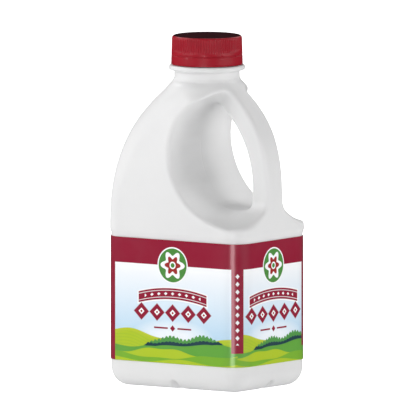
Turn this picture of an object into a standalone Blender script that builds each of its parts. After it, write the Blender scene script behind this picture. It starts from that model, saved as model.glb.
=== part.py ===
"""A plastic milk jug: a blown body with a moulded handle, a screw cap and a wrap-around label.

Metres, +Z up. The jug stands on Z = 0 with its neck on the Z axis. Its front faces -Y and its
handle is on the +X side. The jug is shut, so its body is solid.
"""

import math

import bmesh
import bpy
from mathutils import Vector

MM = 0.001

# Body, in millimetres.
BODY_WIDTH = 100.0
BODY_DEPTH = 74.6
CORNER_RADIUS = 12.0
BASE_RADIUS = 11.0
STAND_BAND = 9.0
PUSH_UP = 2.0
PANEL_INSET = 0.95
PANEL_TOP = 89.8
LIP_TOP = 94.0

# Shoulder: a power curve from the widest level up to the neck, for the width and for the depth.
SHOULDER_START = 96.0
SHOULDER_TOP = 182.0
WIDTH_POWERS = (3.9, 1.18)
DEPTH_POWERS = (1.3, 0.42)
SHOULDER_CORNER = 25.0
CORNER_RISE = (0.12, 0.87)
NECK_BLEND = 1.2

# Neck, its carrying flange and the plug that the cap covers.
NECK_RADIUS = 19.45
FLANGE_RADIUS = 22.7
FLANGE_BOTTOM = 188.4
FLANGE_TOP = 191.4
FLANGE_EDGE = 0.8
PLUG_RADIUS = 19.0
PLUG_TOP = 206.6

# Finger space: a bite through the whole depth, open to +X, as Bezier points in the XZ plane.
# Its floor falls from the handle to the front and back faces, where the rim is rounded.
BITE_TOP = ((34.0, 181.5), (20.0, 178.0), (-4.5, 169.5), (-4.5, 144.0))
FACE_FLOOR = ((-4.5, 144.0), (-4.5, 122.0), (11.0, 103.5), (39.0, 98.0))
FACE_END = (62.0, 99.6)
MIDDLE_FLOOR = ((-4.5, 144.0), (-4.5, 122.0), (12.0, 101.0), (36.0, 107.5))
MIDDLE_END = (62.0, 111.0)
BITE_STEPS = 14
BITE_SIDE = 66.0
FLOOR_HOLLOW = 2.3
FLOOR_STATIONS = (0.12, 0.26, 0.44, 0.68)
RIM_RADIUS = 3.6
RIM_ANGLES = (0.0, 25.0, 48.0, 68.0)
RIM_CLEAR = 0.8

# Handle: a bar of rounded section along a Bezier centreline in the XZ plane, on a flared foot.
HANDLE_LINE = ((43.6, 118.0), (44.0, 141.0), (34.0, 160.0), (16.0, 175.5))
HANDLE_ROOT = (9.0, 181.5)
HANDLE_STEPS = 16
HANDLE_THICK = 12.6
HANDLE_WIDE = 17.0
HANDLE_CORNER = 4.0
FOOT_BOTTOM = 103.0
FOOT_BURIED = 94.0
FOOT_STEPS = 6
FOOT_SPREAD_Y = 6.0
FOOT_SPREAD_X = 8.0
FOOT_CORNER = 6.0

# Notch in the middle of each base edge.
NOTCH_LENGTH = 17.0
NOTCH_WIDTH = 7.0
NOTCH_DEPTH = 2.0

# Cap: a ribbed cup over the plug, with the groove of its tamper band.
CAP_BOTTOM = 192.2
CAP_TOP = 208.9
CAP_RADIUS_BOTTOM = 21.3
CAP_RADIUS_TOP = 20.8
CAP_EDGE = 1.4
CAP_RIBS = 60
RIB_DEPTH = 0.35
RIB_START = 199.4
GROOVE_LEVEL = 198.4
GROOVE_HALF = 0.45
GROOVE_DEPTH = 0.5

# Label: a thin sleeve round the panel.
LABEL_BOTTOM = 15.8
LABEL_TOP = 89.4
LABEL_THICK = 0.35

CLEARANCE = 0.3
CORNER_STEPS = 6
LONG_STEPS = 6
SHORT_STEPS = 4
SHOULDER_RINGS = 20
CUT_OVERSHOOT = 8.0


def clear_scene():
    """Remove every object that the file opened with."""
    for obj in list(bpy.data.objects):
        bpy.data.objects.remove(obj, do_unlink=True)


def make_material(name, colour, roughness):
    """A Principled plastic of one colour."""
    material = bpy.data.materials.new(name)
    material.use_nodes = True
    shader = material.node_tree.nodes["Principled BSDF"]
    shader.inputs["Base Color"].default_value = (*colour, 1.0)
    shader.inputs["Roughness"].default_value = roughness
    shader.inputs["Metallic"].default_value = 0.0
    return material


def make_object(name, mesh, material=None):
    """Link a mesh as a named object, smooth shaded except along its sharp edges."""
    obj = bpy.data.objects.new(name, mesh)
    bpy.context.collection.objects.link(obj)
    if material:
        mesh.materials.append(material)
    mesh.shade_smooth()
    mesh.set_sharp_from_angle(angle=math.radians(35.0))
    return obj


def bezier(points, fraction):
    """A point on a cubic Bezier curve, as (x, z)."""
    back = 1.0 - fraction
    weights = (back ** 3, 3 * back ** 2 * fraction, 3 * back * fraction ** 2, fraction ** 3)
    return tuple(sum(w * p[axis] for w, p in zip(weights, points)) for axis in (0, 1))


def bezier_run(points, steps):
    """Evenly stepped points along a cubic Bezier curve, without its last one."""
    return [bezier(points, step / steps) for step in range(steps)]


def rounded_rectangle(half_x, half_y, radius, long_steps, short_steps, corner_steps):
    """Points round a rounded rectangle, counter-clockwise from the middle of its +X side."""
    quarter = []
    for step in range(short_steps // 2):
        quarter.append((half_x, (half_y - radius) * step / (short_steps / 2)))
    for step in range(corner_steps + 1):
        angle = math.pi / 2 * step / corner_steps
        quarter.append((half_x - radius + radius * math.cos(angle),
                        half_y - radius + radius * math.sin(angle)))
    for step in range(1, long_steps // 2):
        quarter.append(((half_x - radius) * (1 - step / (long_steps / 2)), half_y))
    top = (0.0, half_y)
    second = [(-x, y) for x, y in reversed(quarter)]
    half = quarter + [top] + second
    return half + [(-x, -y) for x, y in half[1:-1]]


def ray_to_rounded(angle, half_x, half_y, radius):
    """The point where a ray from the axis leaves a rounded rectangle."""
    across, along = math.cos(angle), math.sin(angle)
    reach_x, reach_y = abs(across), abs(along)
    if reach_x > 1e-9 and half_x / reach_x * reach_y <= half_y - radius:
        length = half_x / reach_x
    elif reach_y > 1e-9 and half_y / reach_y * reach_x <= half_x - radius:
        length = half_y / reach_y
    else:
        centre_x, centre_y = half_x - radius, half_y - radius
        middle = reach_x * centre_x + reach_y * centre_y
        rest = centre_x ** 2 + centre_y ** 2 - radius ** 2
        length = middle + math.sqrt(max(middle ** 2 - rest, 0.0))
    return across * length, along * length


def body_angles():
    """The directions of a ring's points: even along the sides and corners of the body."""
    outline = rounded_rectangle(BODY_WIDTH / 2, BODY_DEPTH / 2, CORNER_RADIUS,
                                LONG_STEPS, SHORT_STEPS, CORNER_STEPS)
    angles = [math.atan2(y, x) % math.tau for x, y in outline]
    return sorted(angles)


def blended_ring(half_x, half_y, radius, height, roundness):
    """A ring of the body, whose points even out round the neck as roundness goes to 1."""
    angles = body_angles()
    ring = []
    for index, angle in enumerate(angles):
        even = math.tau * index / len(angles)
        ring.append((*ray_to_rounded(angle + (even - angle) * roundness, half_x, half_y, radius),
                     height))
    return ring


def shoulder_fall(height, powers):
    """How much of the body's spread beyond the neck is left at a height: 1 at the widest level."""
    climb = min(max((height - SHOULDER_START) / (SHOULDER_TOP - SHOULDER_START), 0.0), 1.0)
    return (1.0 - climb ** powers[0]) ** powers[1]


def shoulder_sizes(height):
    """The half width, half depth and corner radius of the body at a height of the shoulder."""
    climb = min(max((height - SHOULDER_START) / (SHOULDER_TOP - SHOULDER_START), 0.0), 1.0)
    half_x = NECK_RADIUS + (BODY_WIDTH / 2 - NECK_RADIUS) * shoulder_fall(height, WIDTH_POWERS)
    half_y = NECK_RADIUS + (BODY_DEPTH / 2 - NECK_RADIUS) * shoulder_fall(height, DEPTH_POWERS)
    rise = min(max((climb - CORNER_RISE[0]) / (CORNER_RISE[1] - CORNER_RISE[0]), 0.0), 1.0)
    radius = CORNER_RADIUS + (SHOULDER_CORNER - CORNER_RADIUS) * rise ** 2 * (3 - 2 * rise)
    return half_x, half_y, min(radius, half_x, half_y)


def shoulder_ring(height):
    """A ring of the shoulder at a height."""
    climb = (height - SHOULDER_START) / (SHOULDER_TOP - SHOULDER_START)
    return blended_ring(*shoulder_sizes(height), height, climb)


def face_depth(across, height):
    """How far the front or back face stands from the middle plane, at a place on it."""
    half_x, half_y, radius = shoulder_sizes(height)
    past = min(max(abs(across) - (half_x - radius), 0.0), radius)
    return half_y - radius + math.sqrt(radius ** 2 - past ** 2)


def panel_ring(height, inset):
    """A ring of the straight part of the body, set in from its widest level."""
    return blended_ring(BODY_WIDTH / 2 - inset, BODY_DEPTH / 2 - inset,
                        max(CORNER_RADIUS - inset, 1.5), height, 0.0)


def round_ring(radius, height):
    """A ring of the neck."""
    return blended_ring(radius, radius, radius, height, 1.0)


def body_rings():
    """All rings of the body, from the middle of its underside to the top of the plug."""
    foot_inset = PANEL_INSET + BASE_RADIUS
    rings = [panel_ring(PUSH_UP, foot_inset + STAND_BAND + PUSH_UP),
             panel_ring(0.0, foot_inset + STAND_BAND)]
    base_steps = 6
    for step in range(base_steps + 1):
        angle = math.pi / 2 * step / base_steps
        rings.append(panel_ring(BASE_RADIUS * (1 - math.cos(angle)),
                                PANEL_INSET + BASE_RADIUS * (1 - math.sin(angle))))
    for share in (0.33, 0.67, 1.0):
        rings.append(panel_ring(BASE_RADIUS + (PANEL_TOP - BASE_RADIUS) * share, PANEL_INSET))
    lip_steps = 4
    for step in range(1, lip_steps + 1):
        share = step / lip_steps
        inset = PANEL_INSET * (1 + math.cos(math.pi * share)) / 2
        rings.append(panel_ring(PANEL_TOP + (LIP_TOP - PANEL_TOP) * share, inset))
    for step in range(1, SHOULDER_RINGS):
        climb = math.sin(math.pi / 2 * step / SHOULDER_RINGS)
        rings.append(shoulder_ring(SHOULDER_START + (SHOULDER_TOP - SHOULDER_START) * climb))
    rings += [round_ring(NECK_RADIUS, SHOULDER_TOP + NECK_BLEND),
              round_ring(NECK_RADIUS, FLANGE_BOTTOM),
              round_ring(FLANGE_RADIUS - FLANGE_EDGE, FLANGE_BOTTOM),
              round_ring(FLANGE_RADIUS, FLANGE_BOTTOM + FLANGE_EDGE),
              round_ring(FLANGE_RADIUS, FLANGE_TOP - FLANGE_EDGE),
              round_ring(FLANGE_RADIUS - FLANGE_EDGE, FLANGE_TOP),
              round_ring(PLUG_RADIUS, FLANGE_TOP),
              round_ring(PLUG_RADIUS, PLUG_TOP - FLANGE_EDGE),
              round_ring(PLUG_RADIUS - FLANGE_EDGE, PLUG_TOP)]
    return rings


def loft(name, rings):
    """A closed mesh through rings of points in millimetres, with a face at each end."""
    shape = bmesh.new()
    rows = [[shape.verts.new(Vector(point) * MM) for point in ring] for ring in rings]
    for lower, upper in zip(rows, rows[1:]):
        for index in range(len(lower)):
            after = (index + 1) % len(lower)
            shape.faces.new((lower[index], lower[after], upper[after], upper[index]))
    shape.faces.new(list(reversed(rows[0])))
    shape.faces.new(rows[-1])
    bmesh.ops.recalc_face_normals(shape, faces=shape.faces)
    mesh = bpy.data.meshes.new(name)
    shape.to_mesh(mesh)
    shape.free()
    return mesh


def handle_section(centre, normal, half_thick, half_wide, corner):
    """A ring across the handle at a centre point, square to its centreline."""
    ring = []
    outline = rounded_rectangle(half_thick, half_wide, corner, 2, 2, 4)
    for across, along in outline:
        ring.append((centre[0] + across * normal[0], along, centre[1] + across * normal[1]))
    return ring


def foot_sections():
    """The rings of the handle's foot, which flares into the side and floor of the body."""
    outer = HANDLE_LINE[0][0] + HANDLE_THICK / 2
    start = HANDLE_LINE[0][1]
    rings = []
    for step in range(FOOT_STEPS + 1):
        share = 1.0 - step / FOOT_STEPS
        spread = 1.0 - math.sqrt(1.0 - share ** 2)
        inner = outer - HANDLE_THICK - FOOT_SPREAD_X * spread
        half_wide = HANDLE_WIDE / 2 + FOOT_SPREAD_Y * spread
        corner = HANDLE_CORNER + (FOOT_CORNER - HANDLE_CORNER) * spread
        height = start - (start - FOOT_BOTTOM) * share
        ring = handle_section(((outer + inner) / 2, height), (1.0, 0.0),
                              (outer - inner) / 2, half_wide, corner)
        rings.append(ring)
    buried = [(x, y, FOOT_BURIED) for x, y, _ in rings[0]]
    return [buried] + rings


def handle_rings():
    """All rings of the handle, from inside the body's side to inside the neck."""
    rings = foot_sections()
    line = [bezier(HANDLE_LINE, step / HANDLE_STEPS) for step in range(HANDLE_STEPS + 1)]
    line.append(HANDLE_ROOT)
    for before, here, after in zip(line, line[1:], line[2:]):
        run = (Vector(after) - Vector(before)).normalized()
        rings.append(handle_section(here, (run.y, -run.x), HANDLE_THICK / 2,
                                    HANDLE_WIDE / 2, HANDLE_CORNER))
    run = (Vector(line[-1]) - Vector(line[-2])).normalized()
    rings.append(handle_section(line[-1], (run.y, -run.x), HANDLE_THICK / 2,
                                HANDLE_WIDE / 2, HANDLE_CORNER))
    return rings


def bite_outline(floor, end):
    """The outline of the finger space over one floor, closed outside the body on the +X side."""
    outline = bezier_run(BITE_TOP, BITE_STEPS) + bezier_run(floor, BITE_STEPS)
    return outline + [floor[-1], end]


def outward_normals(outline):
    """The directions that lead out of the finger space, one to each point of its outline."""
    normals = []
    for index, here in enumerate(outline):
        before = outline[max(index - 1, 0)]
        after = outline[min(index + 1, len(outline) - 1)]
        run = (Vector(after) - Vector(before)).normalized()
        normals.append(Vector((run.y, -run.x)))
    return normals


def bite_ring(spread, share, angle, clear=0.0):
    """A ring of the finger space behind the middle plane.

    Spread moves its floor from the handle to the face, share and angle place it in depth, and
    clear carries it out past the rim, along the rim's last slope.
    """
    middle = bite_outline(MIDDLE_FLOOR, MIDDLE_END)
    face = bite_outline(FACE_FLOOR, FACE_END)
    flare = RIM_RADIUS * (1 - math.cos(angle)) + clear * math.tan(angle)
    start = HANDLE_WIDE / 2
    ring = []
    for inner, outer, normal in zip(middle, face, outward_normals(face)):
        place = Vector(inner).lerp(Vector(outer), spread) + normal * flare
        rim = max(face_depth(outer[0], outer[1]) - RIM_RADIUS, start + RIM_RADIUS)
        depth = start + (rim - start) * share + RIM_RADIUS * math.sin(angle) + clear
        ring.append((place.x, depth, place.y))
    (_, top_depth, top), (_, end_depth, end) = ring[0], ring[-1]
    return ring + [(BITE_SIDE, end_depth, end), (BITE_SIDE, top_depth, top)]


def bite_rings():
    """All rings of the finger space, from before the front face to behind the back face."""
    half = [bite_ring(0.0, 0.0, 0.0)]
    for share in FLOOR_STATIONS:
        half.append(bite_ring(1 - (1 - share) ** FLOOR_HOLLOW, share, 0.0))
    for degrees in RIM_ANGLES:
        half.append(bite_ring(1.0, 1.0, math.radians(degrees)))
    half.append(bite_ring(1.0, 1.0, math.radians(RIM_ANGLES[-1]), RIM_CLEAR))
    half.append([(x, BODY_DEPTH / 2 + CUT_OVERSHOOT, z) for x, _, z in half[-1]])
    return [[(x, -y, z) for x, y, z in ring] for ring in reversed(half)] + half


def add_boolean(target, tool, operation):
    """Join or cut a target with a tool, which stays as a hidden guide."""
    modifier = target.modifiers.new(operation.title(), 'BOOLEAN')
    modifier.operation = operation
    modifier.object = tool
    modifier.solver = 'EXACT'
    tool.hide_render = True
    tool.display_type = 'WIRE'


def notch_mesh():
    """A stretched ball that cuts the notch of a base edge."""
    shape = bmesh.new()
    bmesh.ops.create_uvsphere(shape, u_segments=14, v_segments=10, radius=0.5)
    stretch = Vector((NOTCH_WIDTH, NOTCH_DEPTH * 2, NOTCH_LENGTH)) * MM
    bmesh.ops.scale(shape, vec=stretch, verts=shape.verts)
    mesh = bpy.data.meshes.new("notch_cutter")
    shape.to_mesh(mesh)
    shape.free()
    return mesh


def add_notches(jug):
    """Cut the four base edges of the jug in their middles, along the base's rounding."""
    mesh = notch_mesh()
    lean = math.pi / 4
    bend = PANEL_INSET + BASE_RADIUS * (1 - math.sin(lean))
    height = BASE_RADIUS * (1 - math.cos(lean))
    places = ((0, -1, BODY_DEPTH / 2), (1, 0, BODY_WIDTH / 2),
              (0, 1, BODY_DEPTH / 2), (-1, 0, BODY_WIDTH / 2))
    for index, (side_x, side_y, reach) in enumerate(places):
        notch = make_object(f"notch_cutter_{index}", mesh)
        out = (reach - bend) * MM
        notch.location = (side_x * out, side_y * out, height * MM)
        turn = math.atan2(side_y, side_x) + math.pi / 2
        notch.rotation_euler = (lean, 0.0, turn)
        add_boolean(jug, notch, 'DIFFERENCE')


def build_jug(material):
    """The body with its bite, handle and base notches."""
    jug = make_object("jug", loft("jug", body_rings()), material)
    bite = make_object("bite_cutter", loft("bite_cutter", bite_rings()))
    handle = make_object("handle_guide", loft("handle_guide", handle_rings()))
    add_boolean(jug, bite, 'DIFFERENCE')
    add_boolean(jug, handle, 'UNION')
    add_notches(jug)
    return jug


def cap_ring(radius, height, rib):
    """A ring of the cap, two points to each rib."""
    points = CAP_RIBS * 2
    ring = []
    for index in range(points):
        reach = radius - (rib if index % 2 else 0.0)
        angle = math.tau * index / points
        ring.append((reach * math.cos(angle), reach * math.sin(angle), height))
    return ring


def cap_radius(height):
    """The outer radius of the cap's gently tapered side."""
    share = (height - CAP_BOTTOM) / (CAP_TOP - CAP_BOTTOM)
    return CAP_RADIUS_BOTTOM + (CAP_RADIUS_TOP - CAP_RADIUS_BOTTOM) * share


def build_cap(material):
    """The ribbed screw cap with its tamper band."""
    inner = PLUG_RADIUS + CLEARANCE
    ceiling = PLUG_TOP + CLEARANCE
    profile = [(inner - FLANGE_EDGE, ceiling, 0.0), (inner, ceiling - FLANGE_EDGE, 0.0),
               (inner, CAP_BOTTOM, 0.0), (cap_radius(CAP_BOTTOM) - 0.4, CAP_BOTTOM, 0.0)]
    side = ((CAP_BOTTOM + 0.4, 0.0, 0.0), (GROOVE_LEVEL - GROOVE_HALF, 0.0, 0.0),
            (GROOVE_LEVEL, GROOVE_DEPTH, 0.0), (GROOVE_LEVEL + GROOVE_HALF, 0.0, 0.0),
            (RIB_START, 0.0, RIB_DEPTH), (CAP_TOP - CAP_EDGE, 0.0, RIB_DEPTH))
    for height, inset, rib in side:
        profile.append((cap_radius(height) - inset, height, rib))
    edge_steps = 3
    for step in range(1, edge_steps + 1):
        angle = math.pi / 2 * step / edge_steps
        profile.append((cap_radius(CAP_TOP) - CAP_EDGE * (1 - math.cos(angle)),
                        CAP_TOP - CAP_EDGE * (1 - math.sin(angle)), 0.0))
    rings = [cap_ring(radius, height, rib) for radius, height, rib in profile]
    return make_object("cap", loft("cap", rings), material)


def build_label(material):
    """The thin label sleeve, clear of the panel that it wraps."""
    outer = PANEL_INSET - CLEARANCE - LABEL_THICK
    inner = PANEL_INSET - CLEARANCE
    corners = ((LABEL_BOTTOM, outer), (LABEL_TOP, outer), (LABEL_TOP, inner), (LABEL_BOTTOM, inner))
    shape = bmesh.new()
    rows = []
    for height, inset in corners:
        rows.append([shape.verts.new(Vector(p) * MM) for p in panel_ring(height, inset)])
    for lower, upper in zip(rows, rows[1:] + rows[:1]):
        for index in range(len(lower)):
            after = (index + 1) % len(lower)
            shape.faces.new((lower[index], lower[after], upper[after], upper[index]))
    bmesh.ops.recalc_face_normals(shape, faces=shape.faces)
    mesh = bpy.data.meshes.new("label")
    shape.to_mesh(mesh)
    shape.free()
    return make_object("label", mesh, material)


clear_scene()
build_jug(make_material("white_plastic", (0.86, 0.88, 0.88), 0.38))
build_cap(make_material("red_plastic", (0.30, 0.017, 0.028), 0.35))
build_label(make_material("printed_film", (0.35, 0.55, 0.62), 0.30))
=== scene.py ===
"""The looks of a plastic milk jug: its blown body, screw cap, printed sleeve and studio.

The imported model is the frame. Each sub-assembly is a class that builds its meshes over the frame's
nodes and dresses them with its finishes. Sizes inside the classes are millimetres, and meshes are
scaled to metres as they are made.
"""

from __future__ import annotations

import logging
import math
from dataclasses import dataclass
from enum import Enum
from typing import Mapping, Sequence, Union

import bmesh
import bpy
import numpy as np
from mathutils import Matrix, Vector

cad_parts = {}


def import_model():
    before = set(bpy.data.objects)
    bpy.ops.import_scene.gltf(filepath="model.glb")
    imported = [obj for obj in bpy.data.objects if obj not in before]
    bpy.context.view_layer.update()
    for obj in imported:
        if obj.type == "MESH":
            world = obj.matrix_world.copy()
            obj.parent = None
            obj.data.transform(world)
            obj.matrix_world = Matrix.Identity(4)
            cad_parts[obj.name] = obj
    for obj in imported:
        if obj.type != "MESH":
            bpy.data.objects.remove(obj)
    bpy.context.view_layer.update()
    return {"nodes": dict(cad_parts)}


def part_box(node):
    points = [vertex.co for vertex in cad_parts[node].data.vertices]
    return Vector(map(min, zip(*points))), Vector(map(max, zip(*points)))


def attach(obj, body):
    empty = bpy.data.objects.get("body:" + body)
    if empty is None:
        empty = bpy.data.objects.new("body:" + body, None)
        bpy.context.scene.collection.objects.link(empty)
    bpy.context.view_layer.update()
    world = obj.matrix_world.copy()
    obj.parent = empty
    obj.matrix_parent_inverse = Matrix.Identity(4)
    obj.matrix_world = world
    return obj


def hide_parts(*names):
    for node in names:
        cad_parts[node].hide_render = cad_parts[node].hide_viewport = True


LOG = logging.getLogger("milk_jug")
MM = 0.001
TINY = 1e-12

Colour = tuple[float, float, float]
Point = tuple[float, float]
Socket = bpy.types.NodeSocket
Row = Sequence[bmesh.types.BMVert]


class Slot(Enum):
    """The record's material slots."""

    WHITE = "white_plastic"
    RED = "red_plastic"
    FILM = "printed_film"


class Ink(Enum):
    """The inks of the print, as they show on a screen."""

    PAPER = (252, 253, 255)
    SKY = (186, 220, 243)
    CRIMSON = (146, 8, 46)
    LEAF = (74, 140, 58)
    LIME = (176, 200, 36)
    MEADOW = (122, 178, 44)
    GRASS = (98, 166, 60)
    TREE = (80, 152, 72)
    SHADE = (26, 62, 72)
    STRAW = (208, 206, 56)
    RUST = (158, 34, 30)

    @property
    def shade(self) -> Colour:
        """The ink on the linear scale."""
        return linear(self.value)


def linear(screen: Sequence[float]) -> Colour:
    """Turn a screen colour of 0 to 255 into the linear colour that shaders take.

    Args:
        screen: Red, green and blue as they show on a screen.

    Returns:
        The same colour on the linear scale.
    """
    shares = [value / 255.0 for value in screen]
    red, green, blue = (s / 12.92 if s <= 0.04045 else ((s + 0.055) / 1.055) ** 2.4 for s in shares)
    return red, green, blue


@dataclass(frozen=True)
class Reading:
    """A number at each place of a surface, worked out by shader nodes."""

    bench: Bench
    socket: Socket

    def __add__(self, other: Amount) -> Reading:
        """The sum of two readings."""
        return self.bench.maths('ADD', self, other)

    def __sub__(self, other: Amount) -> Reading:
        """This reading less another."""
        return self.bench.maths('SUBTRACT', self, other)

    def __mul__(self, other: Amount) -> Reading:
        """The product of two readings."""
        return self.bench.maths('MULTIPLY', self, other)

    def __truediv__(self, other: Amount) -> Reading:
        """This reading over another."""
        return self.bench.maths('DIVIDE', self, other)

    def size(self) -> Reading:
        """The reading without its sign."""
        return self.bench.maths('ABSOLUTE', self)

    def wave(self, reach: float, length: float, start: float = 0.0) -> Reading:
        """Ride a sine wave along this reading.

        Args:
            reach: Height of the wave.
            length: Length of one wave, in the reading's units.
            start: Where along the wave it begins, in turns.

        Returns:
            The height of the wave at each place.
        """
        turns = self * (math.tau / length) + start * math.tau
        return self.bench.maths('SINE', turns) * reach

    def below(self, edge: Amount, softness: float = 0.14) -> Reading:
        """Tell where this reading stays under an edge.

        Args:
            edge: The level to stay under.
            softness: Width of the passage from 1 to 0.

        Returns:
            1 under the edge and 0 over it.
        """
        share = self.bench.maths('SUBTRACT', edge, self) / softness + 0.5
        return self.bench.maths('MINIMUM', self.bench.maths('MAXIMUM', share, 0.0), 1.0)

    def above(self, edge: Amount, softness: float = 0.14) -> Reading:
        """Tell where this reading is over an edge, as 1 over it and 0 under it."""
        return self.below(edge, softness) * -1.0 + 1.0

    def between(self, low: Amount, high: Amount) -> Reading:
        """Tell where this reading lies between two edges, as 1 inside and 0 outside."""
        return self.above(low) * self.below(high)


Amount = Union[Reading, float]
Ground = Union[Socket, Colour]
Supply = Union[Amount, Socket, Sequence[float]]


@dataclass
class Bench:
    """Lays out the shader nodes of one material or world."""

    tree: bpy.types.NodeTree

    def node(self, kind: str, **settings: object) -> bpy.types.Node:
        """Add a node.

        Args:
            kind: The node's type.
            settings: The node's own properties, such as its operation.

        Returns:
            The new node.
        """
        node = self.tree.nodes.new(kind)
        for name, value in settings.items():
            setattr(node, name, value)
        return node

    def link(self, source: Socket, target: Socket) -> None:
        """Join an output to an input."""
        self.tree.links.new(source, target)

    def feed(self, target: Socket, amount: Supply) -> None:
        """Give an input a reading, an output or a plain value.

        Args:
            target: The input.
            amount: What goes into it.
        """
        if isinstance(amount, Reading):
            self.link(amount.socket, target)
        elif isinstance(amount, Socket):
            self.link(amount, target)
        else:
            target.default_value = amount

    def maths(self, operation: str, *amounts: Amount) -> Reading:
        """Work out a number from others.

        Args:
            operation: The operation of Blender's Math node.
            amounts: What goes into it, in order.

        Returns:
            The result.
        """
        node = self.node('ShaderNodeMath', operation=operation)
        for target, amount in zip(node.inputs, amounts):
            self.feed(target, amount)
        return Reading(self, node.outputs[0])

    def dress(self, shader: bpy.types.Node, supplies: Mapping[str, Supply]) -> None:
        """Give a shader's inputs what they need, each by its name."""
        for name, supply in supplies.items():
            self.feed(shader.inputs[name], supply)

    def axes(self, socket: Socket) -> tuple[Reading, Reading, Reading]:
        """Split a vector.

        Args:
            socket: The output that gives the vector.

        Returns:
            Its three readings.
        """
        node = self.node('ShaderNodeSeparateXYZ')
        self.link(socket, node.inputs[0])
        x, y, z = (Reading(self, output) for output in node.outputs)
        return x, y, z

    def position(self) -> Socket:
        """The place on the object, in metres."""
        return self.node('ShaderNodeTexCoord').outputs["Object"]

    def grain(self, scale: float, detail: float = 2.0, roughness: float = 0.5) -> Reading:
        """Add an even noise over the object.

        Args:
            scale: Grains to a metre.
            detail: Finer layers of the noise.
            roughness: How much the finer layers count.

        Returns:
            The noise, about 0.5 in the middle.
        """
        node = self.node('ShaderNodeTexNoise')
        self.link(self.position(), node.inputs["Vector"])
        node.inputs["Scale"].default_value = scale
        node.inputs["Detail"].default_value = detail
        node.inputs["Roughness"].default_value = roughness
        return Reading(self, node.outputs["Fac"])

    def paint(self, ground: Ground, mask: Amount, value: Colour) -> Socket:
        """Paint a colour over a ground.

        Args:
            ground: The colour that is already there, plain or from an earlier coat.
            mask: How much of the new colour covers each place, 0 to 1.
            value: The new colour, linear.

        Returns:
            The painted colour.
        """
        node = self.node('ShaderNodeMix', data_type='RGBA')
        self.feed(node.inputs[0], mask)
        if isinstance(ground, Socket):
            self.link(ground, node.inputs[6])
        else:
            node.inputs[6].default_value = (*ground, 1.0)
        node.inputs[7].default_value = (*value, 1.0)
        return node.outputs[2]

    def bump(self, height: Reading, depth: float) -> Socket:
        """Turn a height into the tilt of the surface.

        Args:
            height: The height at each place, 0 to 1.
            depth: How far 0 to 1 is, in millimetres.

        Returns:
            The tilted normal.
        """
        node = self.node('ShaderNodeBump')
        node.inputs["Distance"].default_value = depth * MM
        node.inputs["Strength"].default_value = 1.0
        self.link(height.socket, node.inputs["Height"])
        return node.outputs["Normal"]


def new_material(name: str) -> tuple[bpy.types.Material, Bench, bpy.types.Node]:
    """Start a material.

    Args:
        name: Its name.

    Returns:
        The material, a bench for its nodes, and its Principled shader.
    """
    material = bpy.data.materials.new(name)
    material.use_nodes = True
    bench = Bench(material.node_tree)
    return material, bench, material.node_tree.nodes["Principled BSDF"]


@dataclass(frozen=True)
class MilkyPlastic:
    """Blown white plastic with milk behind it: satin, faintly uneven, with the mould's joint line."""

    shade: Colour = linear((230, 230, 230))
    dull: Colour = linear((220, 220, 221))
    roughness: float = 0.36
    joint_half: float = 0.3

    def make(self) -> bpy.types.Material:
        """Lay out the finish.

        Returns:
            The material.
        """
        material, bench, shader = new_material("white_blown_plastic")
        clouds = bench.grain(34.0, 3.0)
        skin = bench.grain(900.0, 2.0)
        flow = bench.grain(150.0, 2.0)
        _, depth, _ = bench.axes(bench.position())
        joint = depth.size().below(self.joint_half * MM, 0.4 * MM)
        bench.dress(shader, {
            "Base Color": bench.paint(self.shade, (clouds - 0.35) * 0.9, self.dull),
            "Roughness": clouds * 0.10 + skin * 0.06 + (self.roughness - 0.08),
            "Normal": bench.bump(skin * 0.10 + flow * 0.35 + joint * 0.5, 0.12),
            "Subsurface Weight": 0.15,
            "Subsurface Radius": (1.0, 1.0, 1.0),
            "Subsurface Scale": 1.2 * MM,
            "Specular IOR Level": 0.28,
        })
        return material


@dataclass(frozen=True)
class CapPlastic:
    """Injected dark red plastic, satin on the sides and finely stippled on the top."""

    name: str
    shade: Colour
    dark: Colour
    roughness: float
    stipple: float
    gloss: float
    worn: Colour = linear((196, 120, 124))

    def make(self) -> bpy.types.Material:
        """Lay out the finish.

        Returns:
            The material.
        """
        material, bench, shader = new_material(self.name)
        clouds = bench.grain(120.0, 3.0)
        stipple = bench.grain(2600.0, 1.0)
        scuffs = bench.grain(420.0, 4.0, 0.7)
        base = bench.paint(self.shade, (clouds - 0.3) * 1.2, self.dark)
        bench.dress(shader, {
            "Base Color": bench.paint(base, scuffs.above(0.69, 0.05) * 0.10, self.worn),
            "Roughness": clouds * 0.12 + scuffs * 0.10 + (self.roughness - 0.11),
            "Normal": bench.bump(stipple * self.stipple + scuffs * 0.2, 0.05),
            "Specular IOR Level": self.gloss,
        })
        return material


@dataclass(frozen=True)
class StudioPaper:
    """Matt paper of the studio, with faint fibres and, where it is lit from behind, a glow."""

    name: str
    shade: Colour
    glow: float = 0.0

    def make(self) -> bpy.types.Material:
        """Lay out the finish.

        Returns:
            The material.
        """
        material, bench, shader = new_material(self.name)
        fibres = bench.grain(700.0, 3.0)
        faded = tuple(part * 0.95 for part in self.shade)
        bench.dress(shader, {
            "Base Color": bench.paint(self.shade, fibres * 0.6, faded),
            "Roughness": fibres * 0.1 + 0.82,
            "Specular IOR Level": 0.0,
            "Emission Color": (1.0, 1.0, 1.0, 1.0),
            "Emission Strength": self.glow,
        })
        return material


def soft_least(first: np.ndarray, second: np.ndarray, blend: np.ndarray | float) -> np.ndarray:
    """Take the smaller of two distances, with a round passage where they are near each other.

    Args:
        first: Distances in millimetres.
        second: Distances at the same places.
        blend: How near they must be to run into each other.

    Returns:
        The joined distances.
    """
    near = np.maximum(blend - np.abs(first - second), 0.0)
    return np.minimum(first, second) - near * near / (4.0 * blend)


def soft_most(first: np.ndarray, second: np.ndarray, blend: np.ndarray | float) -> np.ndarray:
    """Take the larger of two distances, with a round passage where they are near each other."""
    return -soft_least(-first, -second, blend)


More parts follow.
